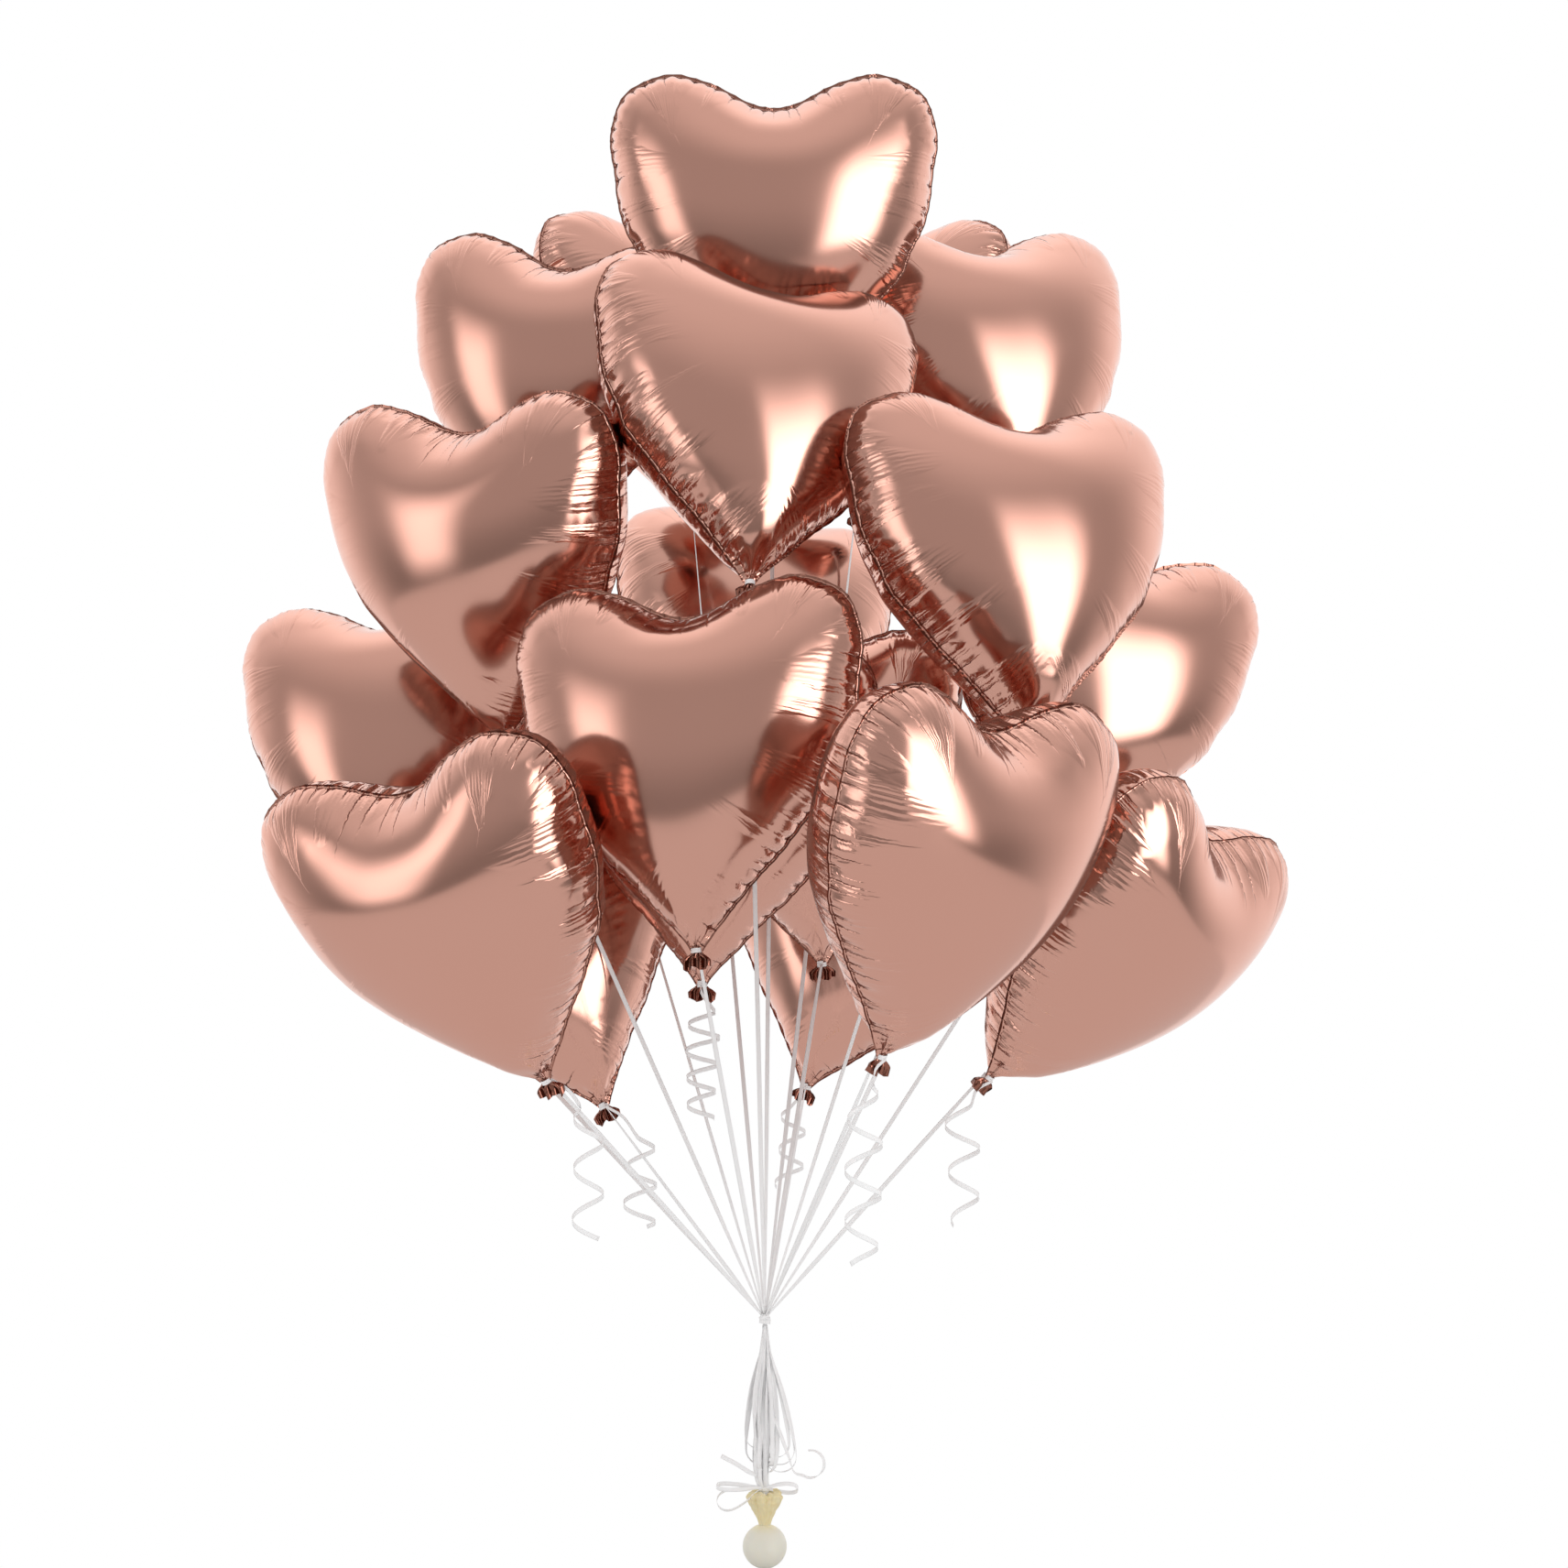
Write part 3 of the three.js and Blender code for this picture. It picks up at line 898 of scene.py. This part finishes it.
def smoothstep(value, low, high):
    t = np.clip((value - low) / (high - low), 0, 1)
    return t * t * (3 - 2 * t)


def even_along_seam(flat, x, seam_count, step):
    """The shape without its crumples near the seam: each point keeps its place in a frame that
    runs along the seam, averaged with that of its neighbours along it."""
    distance, place = nearest(flat[:seam_count], flat)
    seam = blurred(x[:seam_count], 22 / step, 0, "odd")
    ahead = unit(np.gradient(seam, axis=0))
    inward = np.cross([0, 0, 1], ahead)
    offset = x - seam[place]
    local = np.column_stack([(offset * ahead[place]).sum(1), (offset * inward[place]).sum(1), offset[:, 2]])
    bin_size, deepest = 3.0, 90.0
    rows = int(deepest / bin_size)
    used = distance < deepest
    total = np.zeros((seam_count, 2 * rows + 1, 3))
    weight = np.zeros((seam_count, 2 * rows + 1, 1))
    for sign in (1, -1):
        row = rows + sign * np.round(distance[used] / bin_size).astype(int)
        row = np.clip(row, 0, 2 * rows)
        np.add.at(total, (place[used], row), local[used] * [1, 1, sign])
        np.add.at(weight, (place[used], row), 1)
    for axis, spread in ((0, 24 / step), (1, 2.0)):
        total = blurred(total, spread, axis, "edge")
        weight = blurred(weight, spread, axis, "edge")
    even = total / np.maximum(weight, 1e-3)
    depth = np.clip(distance / bin_size, 0, rows - 1.001)
    low = depth.astype(int)
    part = (depth - low)[:, None]
    found = even[place, rows + low] * (1 - part) + even[place, rows + low + 1] * part
    found[:seam_count] = 0
    rebuilt = seam[place] + ahead[place] * found[:, :1] + inward[place] * found[:, 1:2]
    rebuilt[:, 2] = found[:, 2]
    near = 1 - smoothstep(distance, 42, 78)
    near *= np.maximum(smoothstep(np.abs(flat[:, 0]), 4, 22), smoothstep(flat[:, 1], -170, -130))
    near[:seam_count] = 1
    return x + (rebuilt - x) * near[:, None]


def relaxed(x, triangles, fixed, rounds):
    """Laplacian smoothing of all but the first points, which are the outline's."""
    edges = film_edges(triangles)
    a, b = edges[:, 0], edges[:, 1]
    degree = np.bincount(a, minlength=len(x)) + np.bincount(b, minlength=len(x))
    for _ in range(rounds):
        total = summed(a, x[b], len(x)) + summed(b, x[a], len(x))
        step = 0.5 * (total / degree[:, None] - x)
        step[:fixed] = 0
        x = x + step
    return x


def loop_subdivide(points, triangles):
    """One level of Loop subdivision; an open edge keeps its own curve."""
    count = len(points)
    sides = triangle_sides(triangles)
    opposite = np.concatenate([triangles[:, 2], triangles[:, 0], triangles[:, 1]])
    edges, which = np.unique(np.sort(sides, axis=1), axis=0, return_inverse=True)
    which = which.ravel()
    uses = np.bincount(which, minlength=len(edges))
    far = summed(which, points[opposite], len(edges))
    ends = points[edges[:, 0]] + points[edges[:, 1]]
    rim = (uses == 1)[:, None]
    middle = np.where(rim, ends / 2, ends * 3 / 8 + far / 8)

    def gather(pairs):
        a, b = pairs[:, 0], pairs[:, 1]
        near = np.bincount(a, minlength=count) + np.bincount(b, minlength=count)
        return summed(a, points[b], count) + summed(b, points[a], count), near

    total, near = gather(edges)
    beta = (5 / 8 - (3 / 8 + np.cos(2 * np.pi / near) / 4) ** 2) / near
    moved = points * (1 - near * beta)[:, None] + total * beta[:, None]
    rim_total, rim_near = gather(edges[uses == 1])
    moved = np.where((rim_near > 0)[:, None], points * 0.75 + rim_total / 8, moved)
    mid = count + which.reshape(3, -1)
    a, b, c = triangles.T
    ab, bc, ca = mid
    finer = np.vstack([np.column_stack(t) for t in ((a, ab, ca), (b, bc, ab), (c, ca, bc), (ab, bc, ca))])
    return np.vstack([moved, middle]), finer


def gather_neck(points):
    """Draws the film in round the tie, in pleats, over the lowest part of the heart."""
    reach, tightness, pleats, pleat_depth = 42.0, 0.68, 9, 0.22
    pull = np.clip(1 - points[:, 2] / reach, 0, 1) ** 2
    angle = np.arctan2(points[:, 1], points[:, 0])
    pleat = 1 + pleat_depth * pull * np.cos(pleats * angle)
    scale = (1 - tightness * pull) * pleat
    return np.column_stack([points[:, 0] * scale, points[:, 1] * scale, points[:, 2]])


CREASE_GAP = 19


class Creases:
    """The creases that run in from the seam of one balloon, drawn at random."""

    def __init__(self, rng, seam):
        travelled = travelled_along(seam)
        self.seam, self.travelled = seam, travelled
        self.half = travelled[-1] / 2
        self.count = int(self.half / CREASE_GAP)
        self.places = [self.spread(rng) for _ in "ab"]
        self.depths = [rng.uniform(0.3, 1.5, self.count + 2) for _ in "ab"]
        self.lengths = [[self.length(rng, places) for places in self.places] for _ in "ab"]
        self.wave = rng.uniform(0, 2 * math.pi)

    def spread(self, rng):
        even = np.arange(self.count) + 0.5 + rng.uniform(-0.32, 0.32, self.count)
        return np.r_[0, even * self.half / self.count, self.half]

    def length(self, rng, places):
        drawn = 12 + 46 * rng.uniform(0, 1, len(places)) ** 1.6
        by_cleft = places > self.half - 55
        return np.where(by_cleft, 40 + drawn, drawn)

    def at(self, flat, film):
        """For each flat point: how far the film stands out there, its distance from the seam,
        its count of creases from the neck, and how long the creases near it are."""
        distance, place = nearest(self.seam, flat)
        along = self.travelled[place]
        left = along > self.half
        along = np.minimum(along, 2 * self.half - along)
        out, phase, reach = (np.zeros(len(flat)) for _ in range(3))
        for half, here in enumerate((~left, left)):
            places = self.places[half]
            number = np.arange(len(places))
            phase[here] = np.interp(along[here], places, number)
            reach[here] = np.interp(along[here], places, self.lengths[film][half])
            closest = np.round(phase[here]).astype(int)
            aside = np.abs(along[here] - places[closest])
            gap = np.interp(along[here], (places[1:] + places[:-1]) / 2, np.diff(places)) / CREASE_GAP
            inward = distance[here]
            deep = 0.45 + 0.55 * smoothstep(inward, 0, 7)
            fold = self.depths[half][closest] * np.exp(-aside / 1.9) * deep
            fold = fold * (1 - smoothstep(inward, 0.35 * reach[here], reach[here]))
            swell = 0.5 * gap * (1 - np.cos(2 * math.pi * phase[here]))
            swell = swell * (0.4 + 0.6 * smoothstep(inward, 0, 8)) * (1 - smoothstep(inward, 8, 45))
            out[here] = swell - fold
        return out, distance, phase, reach


def vertex_normals(points, triangles):
    a, b, c = (points[triangles[:, k]] for k in range(3))
    face = np.cross(b - a, c - a)
    total = summed(triangles.ravel(), np.repeat(face, 3, axis=0), len(points))
    return total / (np.linalg.norm(total, axis=1)[:, None] + 1e-12)


def half_film(base, creases, side):
    """One film of the balloon, in mm: its dome, its half of the seam's flange and of the tail.

    Gives the points, the triangles, and the seam distance and creases at each point.
    """
    flat, triangles, x = base
    shape = np.column_stack([x[:, 0], -side * x[:, 2], x[:, 1]])
    both, triangles = loop_subdivide(np.column_stack([shape, flat]), triangles)
    points, flat = both[:, :3], both[:, 3:]
    out, distance, phase, reach = creases.at(flat, (1 - side) // 2)
    normals = vertex_normals(points, triangles)
    normals[:, 1] *= np.clip(distance / 8, 0, 1)
    points = points + normals * out[:, None]
    cockle = 0.4 * np.sin(2.1 * phase + creases.wave) * np.sin(0.8 * phase) * (1 - smoothstep(distance, 0, 9))
    points[:, 1] += cockle
    if side < 0:
        triangles = triangles[:, ::-1]
    points[:, 2] -= points[np.abs(flat[:, 1] - NECK[1]) < 0.6, 2].mean()
    points = gather_neck(points)
    points[:, 1] -= side * 0.15
    rim = rim_loop(len(points), triangles)
    on_neck = flat[rim][:, 1] < NECK[1] + 0.6
    rim = np.roll(rim, -int(np.flatnonzero(~on_neck & np.roll(on_neck, 1))[0]))
    on_neck = flat[rim][:, 1] < NECK[1] + 0.6
    seam = rim[~on_neck]
    tail_top = np.r_[seam[-1], rim[on_neck], seam[0]]
    # The last mark is the painted shade: none on the dome itself.
    marks = np.column_stack([distance * MM, phase, reach * MM, np.zeros(len(points))])
    return add_tail(*add_flange(points, triangles, marks, seam), tail_top, side)


def rim_loop(count, triangles):
    """The points round the open edge, in order, as the triangles run."""
    sides = triangle_sides(triangles)
    keys = np.sort(sides, axis=1) @ [count, 1]
    _, first, uses = np.unique(keys, return_index=True, return_counts=True)
    after = {int(a): int(b) for a, b in sides[first[uses == 1]]}
    loop = [0]
    while after[loop[-1]] != loop[0]:
        loop.append(after[loop[-1]])
    return np.array(loop)


def add_flange(points, triangles, marks, seam):
    """The flat welded edge outside the seam, cockled as the seam is, and marked for painted shade."""
    edge = points[seam]
    ahead = np.gradient(edge, axis=0)
    for _ in range(3):
        ahead[1:-1] = (ahead[:-2] + 2 * ahead[1:-1] + ahead[2:]) / 4
    outward = unit(np.column_stack([ahead[:, 2], np.zeros(len(seam)), -ahead[:, 0]]))
    middle = points[:, [0, 2]].mean(0)
    if ((edge[:, [0, 2]] - middle) * outward[:, [0, 2]]).sum() < 0:
        outward = -outward
    rows = [seam]
    for out in (0.4, 1.0):
        rows.append(len(points) + np.arange(len(seam)))
        points = np.vstack([points, edge + outward * FLANGE * out])
        mark = marks[seam].copy()
        # Painted shade: the flange is darkened toward the foil's dark copper brown.
        mark[:, 3] = 0.7
        marks = np.vstack([marks, mark])
    return points, np.vstack([triangles, *strips_between(rows)]), marks


def strips_between(rows):
    """Triangles that join each row of points to the next."""
    strips = []
    for upper, lower in zip(rows, rows[1:]):
        a, b, c, d = upper[:-1], upper[1:], lower[1:], lower[:-1]
        strips += [np.column_stack([b, a, d]), np.column_stack([b, d, c])]
    return strips


def add_tail(points, triangles, marks, top, side):
    """The tail below the tie: it spreads again at once, into a crumpled frill, marked for painted shade."""
    rows = [top]
    edge = points[top]
    span = np.linspace(-1, 1, len(top)) * np.sign(edge[-1, 0] - edge[0, 0])
    steps = 12
    for step in range(1, steps + 1):
        t = step / steps
        half_width = 4.0 + 12.5 * min(1, 2.2 * t) ** 0.7 - 1.5 * t
        frill = (1.2 + 4.2 * min(1, 2 * t)) * np.sin(3.6 * math.pi * span + 0.7 + 0.9 * t)
        crumple = 0.8 * np.sin(9 * span + 5 * t)
        drop = -0.72 * TAIL_LENGTH * t**0.85 + 2.4 * t * np.cos(6.3 * span + 1.1) + crumple * t
        row = np.column_stack([half_width * span, frill - side * (0.15 + 0.7 * t), drop])
        blend = min(1, 4 * t)
        row = row * blend + (edge + [0, 0, -TAIL_LENGTH * t]) * (1 - blend)
        rows.append(len(points) + np.arange(len(top)))
        points = np.vstack([points, row])
        mark = marks[top].copy()
        # Painted shade: the frill is darkened, fully so below its top quarter.
        mark[:, 3] = 0.85 * blend
        marks = np.vstack([marks, mark])
    return points, np.vstack([triangles, *strips_between(rows)]), marks


# The last mark says where the foil is darkened with painted shade.
FILM_MARKS = ("seam_distance", "crease_count", "crease_reach", "painted_fold_shade")


def film_mesh(name, shaped, mirrored, matrix):
    """The film in the row frame, with its marks for the foil's creases and for its painted shade, by point.
    """
    points, triangles, marks = shaped
    if mirrored:
        points = points * [-1, 1, 1]
        triangles = triangles[:, ::-1]
    turn = np.array(matrix.to_3x3())
    mesh = make_mesh(name, points @ turn.T * MM + np.array(matrix.translation), triangles.tolist(), FOIL)
    for attribute, values in zip(FILM_MARKS, marks.T):
        layer = mesh.attributes.new(attribute, "FLOAT", "POINT")
        layer.data.foreach_set("value", values.astype(np.float32))
    return mesh


def inflated_shapes(count):
    """The front and back film of each differently creased balloon."""
    film = Film([(10.0, 0, 1000)])
    rng = np.random.default_rng(4)
    film.prepare(film.puffed() + rng.normal(0, 0.4, (len(film.both), 3)))
    film.inflate(900)
    step = 4.0
    flat, triangles, outline, seam_count = flat_mesh([(step, 0, 34), (6.0, 34, 70), (9.0, 70, 1000)])
    x = film.carried(flat)
    x = even_along_seam(flat, relaxed(x, triangles, outline, 12), seam_count, step)
    base = flat, triangles, relaxed(x, triangles, outline, 3)
    seam = flat_outline(1.0)
    found = []
    for seed in range(count):
        creases = Creases(np.random.default_rng(seed), seam)
        found.append((half_film(base, creases, 1), half_film(base, creases, -1)))
    return found


def add_balloons():
    shapes = inflated_shapes(3)
    for number, balloon in enumerate(BALLOONS, 1):
        variant, mirrored, swapped = balloon["shape"]
        matrix = balloon_matrix(balloon)
        if swapped:
            matrix = matrix @ Matrix.Rotation(math.pi, 4, "Z")
        for side in (0, 1):
            node = ("front", "back")[side ^ swapped]
            mesh = film_mesh(f"{node}_foil_{number:02d}", shapes[variant][side], mirrored, matrix)
            add_piece(mesh.name, mesh, body_of(number), [f"{node}_film_{number:02d}"])


add_balloons()

# ---------------------------------------------------------------- light and floor


def add_light(name, place, aim, size, radiance):
    """A rectangle that shines evenly, with the given radiance, on what isn't foil."""
    data = bpy.data.lights.new(name, "AREA")
    data.shape = "RECTANGLE"
    data.size, data.size_y = size
    data.energy = radiance * math.pi * size[0] * size[1]
    light = bpy.data.objects.new(name, data)
    light.visible_glossy = False
    light.location = place
    light.rotation_euler = (Vector(aim) - Vector(place)).to_track_quat("-Z", "Y").to_euler()
    bpy.context.collection.objects.link(light)


def by_ray(nodes, links, ray, shader, otherwise):
    """shader for the rays of that kind, and otherwise for all the others."""
    mix = nodes.new("ShaderNodeMixShader")
    links.new(nodes.new("ShaderNodeLightPath").outputs[ray], mix.inputs[0])
    links.new(otherwise, mix.inputs[1])
    links.new(shader, mix.inputs[2])
    return mix.outputs[0]


def flat_light(nodes, kind, brightness):
    """A white background or emission, of one brightness."""
    node = nodes.new(kind)
    node.inputs["Color"].default_value = (brightness, brightness, brightness, 1)
    return node.outputs[0]


def add_world():
    """A white background. What the foil mirrors is the room behind the camera, which is grey and
    darker toward its white floor, with two soft boxes in it, and white paper behind the bouquet.
    It is dimmer in foil that is itself seen in foil, as it is between many more balloons."""
    world = bpy.data.worlds.new("studio")
    bpy.context.scene.world = world
    world.use_nodes = True
    nodes, links = world.node_tree.nodes, world.node_tree.links
    nodes.clear()
    split = nodes.new("ShaderNodeSeparateXYZ")
    links.new(nodes.new("ShaderNodeTexCoord").outputs["Generated"], split.inputs[0])
    x, y, z = (split.outputs[axis] for axis in "XYZ")

    def calculate(operation, first, second=0.0):
        return math_node(nodes, links, operation, first, second)

    def rising(value, low, high):
        return map_range(nodes, links, value, low, high, 0, 1)

    def soft_box(azimuths, heights):
        """Bright between the inner two of four values each way, and dark outside the outer two."""
        parts = []
        for value, (low, full, fade, end) in ((azimuth, azimuths), (height, heights)):
            low, full, fade, end = (math.radians(angle) for angle in (low, full, fade, end))
            parts += [rising(value, low, full), calculate("SUBTRACT", 1.0, rising(value, fade, end))]
        return calculate("MULTIPLY", calculate("MULTIPLY", *parts[:2]), calculate("MULTIPLY", *parts[2:]))

    azimuth = calculate("ARCTAN2", x, calculate("MULTIPLY", y, -1.0))
    height = calculate("ARCSINE", z)
    room = calculate("ADD", 0.26, calculate("MULTIPLY", rising(z, -0.48, 0.05), 0.24))
    room = calculate("ADD", room, calculate("MULTIPLY", rising(z, 0.45, 1.0), 0.35))
    key = calculate("MULTIPLY", soft_box((20, 32, 56, 72), (-24, -19, 4, 42)), 3.3)
    side = calculate("MULTIPLY", soft_box((-80, -66, -58, -44), (-26, -14, 4, 34)), 1.5)
    room = calculate("ADD", room, calculate("ADD", key, side))
    room = calculate("ADD", room, calculate("MULTIPLY", rising(y, -0.15, 0.75), 0.8))
    above = rising(z, -0.455, -0.425)
    floor = calculate("MULTIPLY", calculate("SUBTRACT", 1.0, above), 0.76)
    mirrored = calculate("ADD", floor, calculate("MULTIPLY", above, room))
    twice = calculate("GREATER_THAN", nodes.new("ShaderNodeLightPath").outputs["Glossy Depth"], 1.5)
    dimmed = calculate("SUBTRACT", 1.0, calculate("MULTIPLY", twice, 0.62))
    seen_in_foil = nodes.new("ShaderNodeBackground")
    links.new(calculate("MULTIPLY", mirrored, dimmed), seen_in_foil.inputs["Strength"])
    soft = flat_light(nodes, "ShaderNodeBackground", 0.95)
    white = flat_light(nodes, "ShaderNodeBackground", 1)
    felt = by_ray(nodes, links, "Is Glossy Ray", seen_in_foil.outputs[0], soft)
    shown = by_ray(nodes, links, "Is Camera Ray", white, felt)
    links.new(shown, nodes.new("ShaderNodeOutputWorld").inputs[0])


def add_floor():
    """White paper under the weight. The foil mirrors the world's floor instead of this one."""
    lowest = cad_box[0][2]
    side = 4.0
    corners = [(-side, -side, lowest), (side, -side, lowest), (side, side, lowest), (-side, side, lowest)]
    material, nodes, links, shader = new_material("paper")
    shader.inputs["Base Color"].default_value = (0.85, 0.85, 0.85, 1)
    shader.inputs["Roughness"].default_value = 0.9
    white = flat_light(nodes, "ShaderNodeEmission", 1)
    seen = by_ray(nodes, links, "Is Camera Ray", white, shader.outputs[0])
    links.new(seen, nodes["Material Output"].inputs[0])
    floor = bpy.data.objects.new("floor", make_mesh("floor", corners, [(0, 1, 2, 3)], material, smooth=False))
    floor.visible_glossy = False
    bpy.context.collection.objects.link(floor)


add_world()
add_floor()
add_light("key_light", (1.6, -2.2, 1.6), (0, 0, 0.2), (1.0, 1.0), 2.0)
bpy.context.scene.view_settings.view_transform = "Standard"
